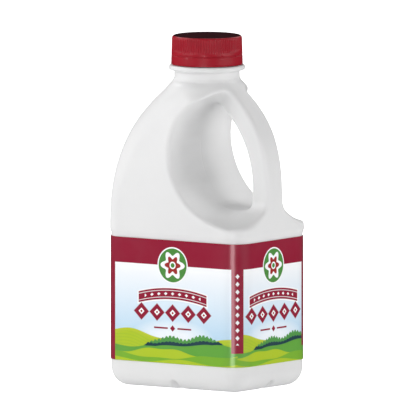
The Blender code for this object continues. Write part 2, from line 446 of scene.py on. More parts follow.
def smooth_share(share: np.ndarray) -> np.ndarray:
    """Ease a share from 0 to 1."""
    held = np.clip(share, 0.0, 1.0)
    return held * held * (3.0 - 2.0 * held)


def curve(points: Sequence[Point], steps: int) -> np.ndarray:
    """Follow a cubic Bezier curve.

    Args:
        points: Its four points.
        steps: How many pieces it is cut into.

    Returns:
        The places along it, both ends included.
    """
    along = np.linspace(0.0, 1.0, steps + 1)[:, None]
    back = 1.0 - along
    first, second, third, last = (np.array(point) for point in points)
    bend = 3.0 * back * along * (back * second + along * third)
    return back ** 3 * first + bend + along ** 3 * last


def rounded_section(across: np.ndarray, along: np.ndarray, corner: np.ndarray | float) -> np.ndarray:
    """Measure how far places lie from a rounded rectangle.

    Args:
        across: How far each place is past the rectangle's side.
        along: How far each place is past its other side.
        corner: The corner's radius.

    Returns:
        The distances, less than zero inside.
    """
    past_across, past_along = across + corner, along + corner
    outside = np.hypot(np.maximum(past_across, 0.0), np.maximum(past_along, 0.0))
    return outside + np.minimum(np.maximum(past_across, past_along), 0.0) - corner


def arc(middle: Point, reach: Point, start: float, end: float, steps: int) -> list[Point]:
    """Follow part of an ellipse.

    Args:
        middle: Its middle.
        reach: Its half width and half height.
        start: Where it begins, in quarter turns from the right.
        end: Where it ends, in quarter turns from the right.
        steps: How many pieces it is cut into.

    Returns:
        The points along it, both ends included.
    """
    turns = [math.pi / 2 * (start + (end - start) * step / steps) for step in range(steps + 1)]
    return [(middle[0] + reach[0] * math.cos(turn), middle[1] + reach[1] * math.sin(turn)) for turn in turns]


def off_stretch(places: np.ndarray, start: np.ndarray, end: np.ndarray) -> np.ndarray:
    """Measure how far places lie from a straight stretch.

    Args:
        places: The places.
        start: Where the stretch begins.
        end: Where it ends.

    Returns:
        The squares of the distances.
    """
    run = end - start
    share = np.clip((places - start) @ run / max(run @ run, TINY), 0.0, 1.0)
    gap = places - start - share[:, None] * run
    return (gap * gap).sum(1)


@dataclass
class FlatOutline:
    """A closed outline in the jug's middle plane, with distances measured from it."""

    points: np.ndarray

    def distance(self, places: np.ndarray) -> np.ndarray:
        """Measure how far places lie from the outline.

        Args:
            places: X and Z of each place.

        Returns:
            The distances, less than zero inside.
        """
        nearest = np.full(len(places), np.inf)
        inside = np.zeros(len(places), dtype=bool)
        for start, end in zip(self.points, np.roll(self.points, -1, axis=0)):
            nearest = np.minimum(nearest, off_stretch(places, start, end))
            if abs(end[1] - start[1]) > TINY:
                crossing = (start[1] > places[:, 1]) != (end[1] > places[:, 1])
                slant = (end[0] - start[0]) / (end[1] - start[1])
                inside ^= crossing & (places[:, 0] < start[0] + (places[:, 1] - start[1]) * slant)
        reach = np.sqrt(nearest)
        return np.where(inside, -reach, reach)


@dataclass
class JugForm:
    """The blown body as one smooth form: distances from its surface, in millimetres.

    The sizes are those of the frame's jug node. The finger space and the handle run into the
    shoulder with the soft passages of blown plastic.
    """

    width: float
    depth: float
    corner: float = 12.0
    base_radius: float = 11.0
    stand_band: float = 9.0
    push_up: float = 2.0
    panel_inset: float = 0.95
    panel_top: float = 89.8
    lip_top: float = 94.0
    shoulder_start: float = 96.0
    shoulder_top: float = 182.0
    width_powers: Point = (3.9, 1.18)
    depth_powers: Point = (1.3, 0.42)
    shoulder_corner: float = 25.0
    corner_rise: Point = (0.12, 0.87)
    neck_radius: float = 19.45
    neck_blend: float = 3.0
    bite_top: Sequence[Point] = ((34.0, 181.5), (20.0, 178.0), (-4.5, 169.5), (-4.5, 144.0))
    face_floor: Sequence[Point] = ((-4.5, 144.0), (-4.5, 122.0), (11.0, 103.5), (39.0, 98.0))
    face_end: Point = (62.0, 99.6)
    middle_floor: Sequence[Point] = ((-4.5, 144.0), (-4.5, 122.0), (12.0, 101.0), (36.0, 107.5))
    middle_end: Point = (62.0, 111.0)
    bite_side: float = 66.0
    floor_hollow: float = 1.7
    floor_crest: float = 4.0
    rim_blend: float = 2.8
    rim_start: float = 3.6
    handle_line: Sequence[Point] = ((43.6, 118.0), (44.0, 141.0), (34.0, 160.0), (16.0, 175.5))
    handle_root: Point = (9.0, 181.5)
    handle_sink: float = 30.0
    handle_thick: float = 12.6
    handle_wide: float = 17.0
    handle_corner: float = 4.0
    handle_cover: float = 8.0
    root_blend: float = 6.0
    foot_blend: float = 4.5
    foot_reach: Point = (104.0, 126.0)
    notch_size: tuple[float, float, float] = (15.0, 6.0, 3.0)
    notch_blend: float = 0.9
    notch_lean: float = math.radians(27.0)
    notches_under: float = 24.0
    bite_over: float = 88.0
    bite_right_of: float = -16.0
    top: float = 189.6
    curve_steps: int = 16
    probe_step: float = 0.04
    slope_limits: Point = (0.3, 6.0)
    least_slope: float = 0.05
    longest_move: float = 1.2

    def __post_init__(self) -> None:
        """Draw the outlines that the distances are measured from."""
        self.middle_bite = self.bite_outline(self.middle_floor, self.middle_end)
        self.face_bite = self.bite_outline(self.face_floor, self.face_end)
        line = curve(self.handle_line, self.curve_steps)
        foot = line[0] - np.array((0.0, self.handle_sink))
        self.handle_run = np.vstack((foot, line, np.array(self.handle_root)))

    def bite_outline(self, floor: Sequence[Point], end: Point) -> FlatOutline:
        """Close the outline of the finger space outside the body.

        Args:
            floor: The curve of its floor.
            end: Where the floor leaves the body.

        Returns:
            The outline.
        """
        top = curve(self.bite_top, self.curve_steps)[:-1]
        bottom = curve(floor, self.curve_steps)
        outside = np.array((end, (self.bite_side, end[1]), (self.bite_side, self.bite_top[0][1])))
        return FlatOutline(np.vstack((top, bottom, outside)))

    def shoulder_sizes(self, height: np.ndarray) -> tuple[np.ndarray, np.ndarray, np.ndarray]:
        """Work out the body's section at each height of the shoulder.

        Args:
            height: Heights in millimetres.

        Returns:
            Half width, half depth and corner radius.
        """
        rise = self.shoulder_top - self.shoulder_start
        climb = np.clip((height - self.shoulder_start) / rise, 0.0, 1.0)
        wide = (1.0 - climb ** self.width_powers[0]) ** self.width_powers[1]
        deep = (1.0 - climb ** self.depth_powers[0]) ** self.depth_powers[1]
        half_x = self.neck_radius + (self.width / 2 - self.neck_radius) * wide
        half_y = self.neck_radius + (self.depth / 2 - self.neck_radius) * deep
        low, high = self.corner_rise
        turn = smooth_share((climb - low) / (high - low))
        corner = self.corner + (self.shoulder_corner - self.corner) * turn
        return half_x, half_y, np.minimum(corner, np.minimum(half_x, half_y))

    def shell(self, places: np.ndarray) -> np.ndarray:
        """Measure the body without its finger space, handle and notches.

        Args:
            places: X, Y and Z of each place.

        Returns:
            How far they lie from it, not quite true where the shoulder slopes.
        """
        x, y, z = np.abs(places[:, 0]), np.abs(places[:, 1]), places[:, 2]
        half_x, half_y, corner = self.shoulder_sizes(z)
        share = np.clip((z - self.panel_top) / (self.lip_top - self.panel_top), 0.0, 1.0)
        inset = self.panel_inset * (1.0 + np.cos(math.pi * share)) / 2
        side = rounded_section(x - half_x, y - half_y, corner) + inset
        low = np.maximum(self.base_radius - z, 0.0)
        edge = np.hypot(np.maximum(side + self.base_radius, 0.0), low) - self.base_radius
        side = np.where(low > 0.0, edge, side)
        raised = np.clip(-(side + self.base_radius + self.stand_band), 0.0, self.push_up)
        side = np.maximum(side, raised - z)
        shoulder = np.maximum(side, z - self.shoulder_top)
        neck = np.hypot(x, y) - self.neck_radius
        joined = soft_least(shoulder, neck, self.neck_blend)
        return np.where(z > self.shoulder_start, joined, side)

    def envelope(self, places: np.ndarray) -> np.ndarray:
        """Measure the shell as true distances, by its own slope.

        Args:
            places: X, Y and Z of each place.

        Returns:
            The distances, less than zero inside.
        """
        step = self.probe_step
        level = self.shell(places)
        slope = np.stack([self.shell(places + step * axis) - level for axis in np.eye(3)], axis=1)
        return level / np.clip(np.linalg.norm(slope, axis=1) / step, *self.slope_limits)

    def bite(self, places: np.ndarray) -> np.ndarray:
        """Measure the finger space, whose floor falls from the handle to both faces.

        Args:
            places: X, Y and Z of each place.

        Returns:
            The distances, less than zero in the space.
        """
        flat = places[:, (0, 2)]
        half_x, half_y, corner = self.shoulder_sizes(places[:, 2])
        past = np.clip(np.abs(places[:, 0]) - (half_x - corner), 0.0, corner)
        face = half_y - corner + np.sqrt(corner ** 2 - past ** 2) - self.rim_start
        start = self.handle_wide / 2 - self.floor_crest
        depth = np.hypot(places[:, 1], self.floor_crest) - self.floor_crest
        share = np.clip((depth - start) / np.maximum(face - start, self.floor_crest), 0.0, 1.0)
        spread = 1.0 - (1.0 - share) ** self.floor_hollow
        middle, outer = self.middle_bite.distance(flat), self.face_bite.distance(flat)
        return middle + (outer - middle) * spread

    def handle(self, places: np.ndarray) -> np.ndarray:
        """Measure the handle's bar, which reaches past the body's outside.

        Args:
            places: X, Y and Z of each place.

        Returns:
            The distances, less than zero inside the bar.
        """
        flat = places[:, (0, 2)]
        nearest = np.full(len(flat), np.inf)
        offset = np.zeros(len(flat))
        for start, end in zip(self.handle_run, self.handle_run[1:]):
            run, away = end - start, flat - start
            reach = off_stretch(flat, start, end)
            side = np.sign(run[1] * away[:, 0] - run[0] * away[:, 1])
            offset = np.where(reach < nearest, side * np.sqrt(reach), offset)
            nearest = np.minimum(nearest, reach)
        half = (self.handle_thick + self.handle_cover) / 2
        across = np.abs(offset - self.handle_cover / 2) - half
        return rounded_section(across, np.abs(places[:, 1]) - self.handle_wide / 2, self.handle_corner)

    def notches(self, places: np.ndarray) -> np.ndarray:
        """Measure the grooves in the middles of the four base edges.

        Args:
            places: X, Y and Z of each place.

        Returns:
            How far they lie from the nearest groove, less than zero in it.
        """
        length, width, depth = self.notch_size
        lean_sine, lean_cosine = math.sin(self.notch_lean), math.cos(self.notch_lean)
        bend = self.panel_inset + self.base_radius * (1.0 - lean_sine)
        height = places[:, 2] - self.base_radius * (1.0 - lean_cosine)
        x, y = np.abs(places[:, 0]), np.abs(places[:, 1])
        balls = []
        for past, along in ((x - self.width / 2 + bend, y), (y - self.depth / 2 + bend, x)):
            rising = past * lean_cosine + height * lean_sine
            facing = past * lean_sine - height * lean_cosine
            balls.append((2 * along / width) ** 2 + (facing / depth) ** 2 + (2 * rising / length) ** 2)
        return (np.sqrt(np.minimum(*balls)) - 1.0) * depth

    def distance(self, places: np.ndarray) -> np.ndarray:
        """Measure how far places lie from the whole body.

        Args:
            places: X, Y and Z of each place.

        Returns:
            The distances, less than zero inside.
        """
        found = self.envelope(places)
        low = places[:, 2] < self.notches_under
        found[low] = soft_most(found[low], -self.notches(places[low]), self.notch_blend)
        high = (places[:, 2] > self.bite_over) & (places[:, 0] > self.bite_right_of)
        reach = places[high]
        from_low, from_high = self.foot_reach
        foot = 1.0 - smooth_share((reach[:, 2] - from_low) / (from_high - from_low))
        blend = self.root_blend + (self.foot_blend - self.root_blend) * foot
        open_space = soft_least(-self.bite(reach), self.handle(reach), blend)
        found[high] = soft_most(found[high], open_space, self.rim_blend)
        return np.maximum(found, places[:, 2] - self.top)

    def settle(self, places: np.ndarray, rounds: int) -> np.ndarray:
        """Move places onto the surface of the form.

        Args:
            places: Places near the surface.
            rounds: How often each is moved down its slope.

        Returns:
            The same places on the surface.
        """
        step = self.probe_step
        moved = places.copy()
        for _ in range(rounds):
            level = self.distance(moved)
            slope = np.stack([self.distance(moved + step * axis) - self.distance(moved - step * axis)
                              for axis in np.eye(3)], axis=1) / (2 * step)
            steepness = np.maximum((slope * slope).sum(1), self.least_slope)
            move = slope * (level / steepness)[:, None]
            length = np.linalg.norm(move, axis=1, keepdims=True)
            moved -= move * np.minimum(1.0, self.longest_move / np.maximum(length, 1e-9))
        return moved


def place_piece(name: str, mesh: bpy.types.Mesh, node: str,
                coats: Sequence[bpy.types.Material]) -> bpy.types.Object:
    """Put a piece on the jug in place of a node of the frame.

    Args:
        name: The piece's name.
        mesh: Its mesh, in metres.
        node: The frame's node that it stands for.
        coats: Its materials.

    Returns:
        The piece.
    """
    piece = bpy.data.objects.new(name, mesh)
    bpy.context.scene.collection.objects.link(piece)
    for coat in coats:
        mesh.materials.append(coat)
    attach(piece, "root")
    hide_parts(node)
    LOG.info("%s: %d faces in place of %s", name, len(mesh.polygons), node)
    return piece


def mesh_from(name: str, shape: bmesh.types.BMesh) -> bpy.types.Mesh:
    """Turn a shape in millimetres into a smooth mesh in metres.

    Args:
        name: The mesh's name.
        shape: The shape, which is freed.

    Returns:
        The mesh.
    """
    bmesh.ops.scale(shape, vec=(MM, MM, MM), verts=shape.verts)
    bmesh.ops.recalc_face_normals(shape, faces=shape.faces)
    mesh = bpy.data.meshes.new(name)
    shape.to_mesh(mesh)
    shape.free()
    mesh.shade_smooth()
    return mesh


def join_rows(shape: bmesh.types.BMesh, lower: Row, upper: Row, closed: bool = False) -> None:
    """Join two rows of vertices by four-sided faces.

    Args:
        shape: The shape that takes the faces.
        lower: One row.
        upper: The other, with as many vertices.
        closed: Whether the rows' ends join their starts.
    """
    for index in range(len(lower) if closed else len(lower) - 1):
        after = (index + 1) % len(lower)
        shape.faces.new((lower[index], lower[after], upper[after], upper[index]))


def turned_shape(rings: Sequence[Sequence[Vector]]) -> bmesh.types.BMesh:
    """Make a closed shape of rings that lie over each other.

    Args:
        rings: The rings, each with the same number of points.

    Returns:
        The shape, with its first and last ring filled.
    """
    shape = bmesh.new()
    rows = [[shape.verts.new(point) for point in ring] for ring in rings]
    for lower, upper in zip(rows, rows[1:]):
        join_rows(shape, lower, upper, closed=True)
    for row in (rows[-1], rows[0][::-1]):
        shape.faces.new(row)
    return shape


@dataclass
class JugBody:
    """The blown body with its shoulder, finger space, handle and base."""

    finish: MilkyPlastic
    remesh_size: float = 1.0
    cut_level: float = 188.0
    settle_rounds: int = 6

    def blank(self, node: bpy.types.Object) -> bpy.types.Mesh:
        """Copy the frame's jug, cut it under its flange and remesh it evenly.

        Args:
            node: The frame's jug node.

        Returns:
            An even mesh close to the final form.
        """
        shape = bmesh.new()
        shape.from_mesh(node.data)
        bmesh.ops.remove_doubles(shape, verts=shape.verts, dist=0.002 * MM)
        everything = shape.verts[:] + shape.edges[:] + shape.faces[:]
        cut = bmesh.ops.bisect_plane(shape, geom=everything, plane_co=(0.0, 0.0, self.cut_level * MM),
                                     plane_no=(0.0, 0.0, 1.0), clear_outer=True)
        rim = [part for part in cut["geom_cut"] if isinstance(part, bmesh.types.BMEdge)]
        bmesh.ops.contextual_create(shape, geom=rim)
        mesh = bpy.data.meshes.new("blank")
        shape.to_mesh(mesh)
        shape.free()
        blank = bpy.data.objects.new("blank", mesh)
        bpy.context.scene.collection.objects.link(blank)
        remesh = blank.modifiers.new("even", 'REMESH')
        remesh.mode = 'VOXEL'
        remesh.voxel_size = self.remesh_size * MM
        bpy.context.view_layer.update()
        seen = blank.evaluated_get(bpy.context.evaluated_depsgraph_get())
        even = bpy.data.meshes.new_from_object(seen)
        bpy.data.objects.remove(blank)
        return even

    def build(self, node: bpy.types.Object) -> bpy.types.Object:
        """Build the body over the frame's jug node.

        Args:
            node: The frame's jug node.

        Returns:
            The finished piece.
        """
        low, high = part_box("jug")
        form = JugForm(width=(high.x - low.x) / MM, depth=(high.y - low.y) / MM)
        mesh = self.blank(node)
        flat = np.empty(len(mesh.vertices) * 3, dtype=np.float32)
        mesh.vertices.foreach_get("co", flat)
        places = flat.reshape(-1, 3).astype(float) / MM
        settled = form.settle(places, self.settle_rounds)
        settled[:, 0] = np.clip(settled[:, 0], low.x / MM, high.x / MM)
        settled[:, 1] = np.clip(settled[:, 1], low.y / MM, high.y / MM)
        settled[:, 2] = np.maximum(settled[:, 2], 0.0)
        mesh.vertices.foreach_set("co", (settled * MM).astype(np.float32).ravel())
        mesh.update()
        mesh.shade_smooth()
        mesh.materials.clear()
        return place_piece("blown_body", mesh, "jug", [self.finish.make()])


@dataclass
class NeckRing:
    """The neck's top: a short throat, the carrying flange and the spout that the cap covers."""

    finish: MilkyPlastic
    throat_radius: float = 19.45
    throat_bottom: float = 185.5
    flange_radius: float = 22.7
    flange_bottom: float = 188.4
    flange_top: float = 191.4
    flange_edge: float = 1.1
    fillet: float = 1.2
    spout_radius: float = 18.95
    spout_top: float = 206.4
    spout_wall: float = 3.0
    rounding: float = 0.6
    around: int = 128
    crease: float = math.radians(50.0)

    def profile(self) -> list[Point]:
        """Draw the outside from the throat up to the spout's lip.

        Returns:
            Radius and height of each point.
        """
        root = (self.throat_radius + self.fillet, self.flange_bottom - self.fillet)
        edge = (self.flange_radius - self.flange_edge, (self.flange_bottom + self.flange_top) / 2)
        half = (self.flange_top - self.flange_bottom) / 2
        foot = (self.spout_radius + self.rounding, self.flange_top + self.rounding)
        line = [(self.throat_radius - self.rounding, self.throat_bottom)]
        line += arc(root, (self.fillet, self.fillet), 2, 1, 6)
        line += arc(edge, (self.flange_edge, half), -1, 1, 16)
        line += arc(foot, (self.rounding, self.rounding), -1, -2, 4)
        line.append((self.spout_radius, self.spout_top - self.rounding))
        line.append((self.spout_radius - self.rounding, self.spout_top))
        line.append((self.spout_radius - self.spout_wall, self.spout_top))
        return line

    def build(self) -> bpy.types.Object:
        """Build the neck's top, closed at both ends.

        Returns:
            The finished piece.
        """
        turns = [math.tau * step / self.around for step in range(self.around)]
        rings = [[Vector((radius * math.cos(turn), radius * math.sin(turn), height)) for turn in turns]
                 for radius, height in self.profile()]
        mesh = mesh_from("neck_ring", turned_shape(rings))
        mesh.set_sharp_from_angle(angle=self.crease)
        return place_piece("neck_ring", mesh, "jug", [self.finish.make()])


@dataclass
class ScrewCap:
    """The screw cap: fine grip ribs, a rounded top edge and the groove of its tamper band."""

    side_finish: CapPlastic
    shaded_top_finish: CapPlastic
    bottom: float = 191.8
    top: float = 208.9
    radius_bottom: float = 21.3
    radius_top: float = 20.8
    edge: float = 1.5
    ribs: int = 90
    rib_depth: float = 0.32
    rib_roundness: float = 1.6
    rib_start: float = 199.6
    groove_level: float = 197.5
    groove_half: float = 0.4
    groove_depth: float = 0.4
    bridges: int = 12
    bridge_rise: float = 0.8
    bridge_narrowness: int = 24
    inner_radius: float = 19.35
    inner_step: float = 3.0
    lip_edge: float = 0.25
    dishing: float = 0.24
    crown_spread: float = 1.02
    crown_depth: float = 0.5
    points_per_rib: int = 8
    crease: float = math.radians(60.0)

    def outline(self, height: float) -> float:
        """The radius of the tapered side at a height."""
        share = (height - self.bottom) / (self.top - self.bottom)
        return self.radius_bottom + (self.radius_top - self.radius_bottom) * share

    def profile(self) -> list[tuple[float, float, float, float]]:
        """Draw the cap from its inner lip over the side to its top.

        Returns:
            Radius, height, share of the ribs and share of the groove of each point.
        """
        line = [(self.inner_radius, self.bottom + self.inner_step, 0.0, 0.0),
                (self.inner_radius, self.bottom, 0.0, 0.0)]
        lip = (self.outline(self.bottom) - self.lip_edge, self.bottom + self.lip_edge)
        line += [(*point, 0.0, 0.0) for point in arc(lip, (self.lip_edge, self.lip_edge), -1, 0, 4)]
        side = [(lip[1] + (self.groove_level - self.groove_half - lip[1]) * step / 4, 0.0, 0.0)
                for step in range(1, 5)]
        side += [(self.groove_level + self.groove_half * level, 0.0, share)
                 for level, share in ((-0.6, 0.8), (0.0, 1.0), (0.6, 0.8), (1.0, 0.0))]
        side.append((self.rib_start - 0.4, 0.0, 0.0))
        rise = self.top - self.edge - self.rib_start
        side += [(self.rib_start + rise * step / 8, min(1.0, step / 1.5 + 0.35), 0.0) for step in range(9)]
        line += [(self.outline(height), height, ribbed, grooved) for height, ribbed, grooved in side]
        flat = self.outline(self.top) - self.edge
        bend = arc((flat, self.top - self.edge), (self.edge, self.edge), 0, 1, 10)
        line += [(*bend[step], 1.0 - min(1.0, step / 5), 0.0) for step in range(1, 11)]
        for share, drop in ((0.97, 0.0), (0.94, 0.5), (0.90, 0.83), (0.6, 0.92), (0.3, 1.0)):
            line.append((flat * share, self.top - drop * self.dishing, 0.0, 0.0))
        return line

    def ring(self, radius: float, height: float, ribbed: float, grooved: float) -> list[Vector]:
        """Draw one ring of the cap.

        Args:
            radius: Its radius over the ribs.
            height: Its height.
            ribbed: How deep the ribs are cut there, 0 to 1.
            grooved: How deep the groove is cut there, 0 to 1.

        Returns:
            Its points.
        """
        count = self.ribs * self.points_per_rib
        points = []
        for turn in (math.tau * step / count for step in range(count)):
            wave = abs(math.sin(turn * self.ribs / 2)) ** self.rib_roundness
            bridge = max(0.0, math.cos(turn * self.bridges)) ** self.bridge_narrowness
            reach = radius - ribbed * self.rib_depth * (1.0 - wave)
            reach -= grooved * self.groove_depth * (1.0 - self.bridge_rise * bridge)
            points.append(Vector((reach * math.cos(turn), reach * math.sin(turn), height)))
        return points

    def build(self) -> bpy.types.Object:
        """Build the cap over the frame's cap node.

        Returns:
            The finished piece.
        """
        shape = turned_shape([self.ring(*point) for point in self.profile()])
        flat = (self.outline(self.top) - self.edge) * self.crown_spread
        # Faces of the flat top take the second finish, whose dark colour is painted shade.
        for face in shape.faces:
            middle = face.calc_center_median()
            high = middle.z > self.top - self.crown_depth
            face.material_index = int(high and math.hypot(middle.x, middle.y) < flat)
        mesh = mesh_from("screw_cap", shape)
        mesh.set_sharp_from_angle(angle=self.crease)
        coats = [self.side_finish.make(), self.shaded_top_finish.make()]
        return place_piece("screw_cap", mesh, "cap", coats)


@dataclass(frozen=True)
class Strip:
    """A crimson strip up the sleeve, in millimetres round the jug."""

    start: float
    end: float
    foot: float
    beaded: bool = False

    def middle(self) -> float:
        """The middle of the strip."""
        return (self.start + self.end) / 2


@dataclass
class Picture:
    """A picture in the making: the places in it, and the colour laid down so far."""

    across: Reading
    up: Reading
    coat: Ground

    def lay(self, mask: Amount, ink: Ink) -> None:
        """Lay an ink over the picture where the mask is 1."""
        self.coat = self.up.bench.paint(self.coat, mask, ink.shade)


def lozenges(across: Reading, rise: Reading, pitch: float, half: float, tall: float) -> Reading:
    """Mask a row of lozenges.

    Args:
        across: The way along the row.
        rise: The way up from the row's middle.
        pitch: From one lozenge to the next.
        half: Half a lozenge's width.
        tall: Half a lozenge's height.

    Returns:
        1 inside the lozenges and 0 outside.
    """
    local = across.bench.maths('WRAP', across, pitch / 2, -pitch / 2).size()
    return (local / half + rise.size() / tall).below(1.0, 0.10)


@dataclass
class SleevePrint:
    """The print of the sleeve, drawn in millimetres round and up the jug.

    Along runs from the middle of the front, towards the handle. Each side has the same picture
    between crimson corner strips: a field landscape under a pale sky, a round flower badge that
    hangs from the top band, a bowed ribbon and a row of lozenges.
    """

    strips: Sequence[Strip]
    bends: Sequence[Point]
    bottom: float
    top: float
    band: float = 15.1
    badge_middle: float = 74.5
    ribbon_half: float = 24.6
    ribbon_low: float = 54.2
    ribbon_high: float = 60.8
    ribbon_bow: float = 0.0052
    ribbon_edge: float = 0.8
    pin_inset: float = 1.1
    pin_width: float = 0.4
    row_half: float = 28.4
    row_middle: float = 46.0
    row_pitch: float = 11.3
    line_middle: float = 36.8
    flat_gloss: float = 0.12
    bend_gloss: float = 0.85
    attribute: str = "wrap"

    def panel_place(self, along: Reading) -> Reading:
        """Measure how far each place is from the middle of its own panel.

        Args:
            along: The way round the jug.

        Returns:
            The distance, less than zero on the left.
        """
        middles = [(before.end + after.start) / 2 for before, after in zip(self.strips, self.strips[1:])]
        place = along - middles[0]
        for strip, before, after in zip(self.strips[1:], middles, middles[1:]):
            place = place - along.above(strip.middle(), 0.01) * (after - before)
        return place

    def sky(self, picture: Picture) -> None:
        """Paint the sky: white at the top, pale blue lower, and a glow over the fields.

        Args:
            picture: The picture so far.
        """
        wide, high = picture.across / 24.0, (picture.up - 31.0) / 9.0
        picture.lay(picture.up.below(52.0, 44.0), Ink.SKY)
        picture.lay((wide * wide + high * high).below(0.9, 1.5) * 0.8, Ink.PAPER)

    def hills(self, picture: Picture) -> None:
        """Paint the far hill with its furrows, and the near one with its row of trees.

        Args:
            picture: The picture so far.
        """
        across, up = picture.across, picture.up
        far = across.wave(3.4, 96.0, 0.62) + across.wave(0.7, 31.0, 0.2) + 31.6
        near = across.wave(2.6, 118.0, 0.08) + across.wave(0.8, 37.0, 0.5) + 27.4
        furrow = (up - far + across * 0.10).wave(1.0, 1.9)
        picture.lay(up.below(far), Ink.LIME)
        picture.lay(up.below(far - 0.6) * furrow.above(0.55, 0.5) * 0.22, Ink.MEADOW)
        picture.lay(up.below(far) * (far - up).below(1.6, 2.4) * 0.45, Ink.STRAW)
        picture.lay(up.below(near), Ink.GRASS)
        crowns = across.wave(1.0, 5.4, 0.1).size() * 1.3 + across.wave(0.5, 2.3, 0.3).size()
        crowns = crowns + across.wave(0.9, 21.0, 0.3)
        wood = (across - 8.0).size().below(25.0, 9.0)
        base = near - wood * 2.1
        grove = up.below(near + crowns * wood + wood * 1.4) * up.above(base) * wood.above(0.15, 0.2)
        picture.lay(grove, Ink.TREE)
        picture.lay(up.below(base + 1.6 + crowns * 0.35) * grove, Ink.SHADE)

    def fields(self, picture: Picture) -> None:
        """Paint the fields in front, each lower than the one before.

        Args:
            picture: The picture so far.
        """
        across, up = picture.across, picture.up
        front = across.wave(1.9, 74.0, 0.36) + across.wave(0.5, 23.0, 0.1) + 22.6
        slope = across.wave(1.6, 88.0, 0.86) + across.wave(0.4, 29.0, 0.6) + 20.2
        patch = across.wave(1.2, 52.0, 0.15) + 17.2
        for edge, ink in ((front, Ink.LIME), (slope, Ink.MEADOW), (patch, Ink.LIME)):
            picture.lay(up.below(edge), ink)

    def badge(self, picture: Picture) -> None:
        """Paint the round flower badge that hangs from the band.

        Args:
            picture: The picture so far.
        """
        across, rise = picture.across, picture.up - self.badge_middle
        maths = across.bench.maths
        reach = maths('SQRT', across * across + rise * rise)
        petals = maths('COSINE', maths('ARCTAN2', rise, across) * 6.0)
        for edge, ink in ((10.9, Ink.PAPER), (10.1, Ink.LEAF), (petals * 1.5 + 7.2, Ink.PAPER),
                          (petals * 1.1 + 4.7, Ink.RUST), (2.2, Ink.PAPER), (1.4, Ink.LEAF)):
            picture.lay(reach.below(edge), ink)

    def ribbon(self, picture: Picture) -> None:
        """Paint the bowed ribbon under the badge.

        Args:
            picture: The picture so far.
        """
        across, half, edge = picture.across, self.ribbon_half, self.ribbon_edge
        low, high = self.ribbon_low, self.ribbon_high
        bow = picture.up + across * across * self.ribbon_bow
        inside = across.size().below(half) * bow.between(low, high)
        outside = across.size().below(half + edge) * bow.between(low - edge, high + edge)
        picture.lay(outside, Ink.PAPER)
        picture.lay(inside, Ink.CRIMSON)
        pins = [bow.between(start, start + self.pin_width)
                for start in (low + self.pin_inset, high - self.pin_inset - self.pin_width)]
        picture.lay(inside * (pins[0] + pins[1]) * 0.8, Ink.PAPER)
        dots = lozenges(across, bow - (low + high) / 2, pitch=5.0, half=1.25, tall=0.95)
        picture.lay(dots * across.size().below(20.2), Ink.PAPER)

    def row(self, picture: Picture) -> None:
        """Paint the row of large lozenges and the small line under it.

        Args:
            picture: The picture so far.
        """
        across, rise = picture.across, picture.up - self.row_middle
        kept = across.size().below(self.row_half)
        for half, tall, ink in ((5.5, 5.3, Ink.CRIMSON), (2.1, 2.0, Ink.PAPER), (0.9, 0.85, Ink.RUST)):
            picture.lay(lozenges(across, rise, self.row_pitch, half, tall) * kept, ink)
        off_line = (picture.up - self.line_middle).size()
        picture.lay((across.size() - 8.5).size().below(5.0) * off_line.below(0.5), Ink.CRIMSON)
        picture.lay((across.size() / 1.9 + off_line / 1.9).below(1.0, 0.1), Ink.CRIMSON)

    def frame(self, picture: Picture, along: Reading) -> None:
        """Paint the crimson strips up the corners and the band round the top.

        Args:
            picture: The picture so far.
            along: The way round the jug.
        """
        up = picture.up
        for strip in self.strips:
            foot = self.bottom + strip.foot
            picture.lay(along.between(strip.start, strip.end) * up.above(foot), Ink.CRIMSON)
            if strip.beaded:
                beads = lozenges(up - 1.2, along - strip.middle(), pitch=4.6, half=1.5, tall=1.25)
                picture.lay(beads * up.between(foot + 5.0, self.top - self.band - 2.0), Ink.PAPER)
        picture.lay(up.above(self.top - self.band), Ink.CRIMSON)

    def wrap(self, bench: Bench) -> tuple[Reading, Reading]:
        """The way round the jug and the height of each place."""
        kept = bench.node('ShaderNodeAttribute', attribute_name=self.attribute)
        return bench.axes(kept.outputs["Vector"])[:2]

    def gloss(self, bench: Bench) -> Reading:
        """Tell how glossy the film is: the corners, where it is drawn tight, shine the most.

        Args:
            bench: The bench of the film's material.

        Returns:
            The weight of the gloss at each place.
        """
        along, _ = self.wrap(bench)
        gloss: Amount = self.flat_gloss
        for start, end in self.bends:
            gloss = along.above(start, 6.0) * along.below(end, 6.0) * self.bend_gloss + gloss
        return gloss

    def colours(self, bench: Bench) -> Socket:
        """Paint the whole print.

        Args:
            bench: The bench of the film's material.

        Returns:
            The colour at each place.
        """
        along, up = self.wrap(bench)
        picture = Picture(self.panel_place(along), up, Ink.PAPER.shade)
        for paint in (self.sky, self.hills, self.fields, self.ribbon, self.row):
            paint(picture)
        self.frame(picture, along)
        self.badge(picture)
        return picture.coat


@dataclass(frozen=True)
class PrintedFilm:
    """Glossy film with the print under its surface, faintly uneven from shrinking."""

    artwork: SleevePrint
    roughness: float = 0.30

    def make(self) -> bpy.types.Material:
        """Lay out the finish.

        Returns:
            The material.
        """
        material, bench, shader = new_material("printed_shrink_film")
        smears = bench.grain(220.0, 3.0)
        tone = bench.grain(60.0, 2.0)
        bench.dress(shader, {
            "Base Color": bench.paint(self.artwork.colours(bench), tone * 0.05, (0.55, 0.55, 0.57)),
            "Roughness": smears * 0.10 + (self.roughness - 0.05),
            "Normal": bench.bump(bench.grain(45.0, 1.0) * 0.7 + smears * 0.12, 0.10),
            "Specular IOR Level": 0.08,
            "Coat Weight": self.artwork.gloss(bench),
            "Coat Roughness": 0.24,
        })
        return material


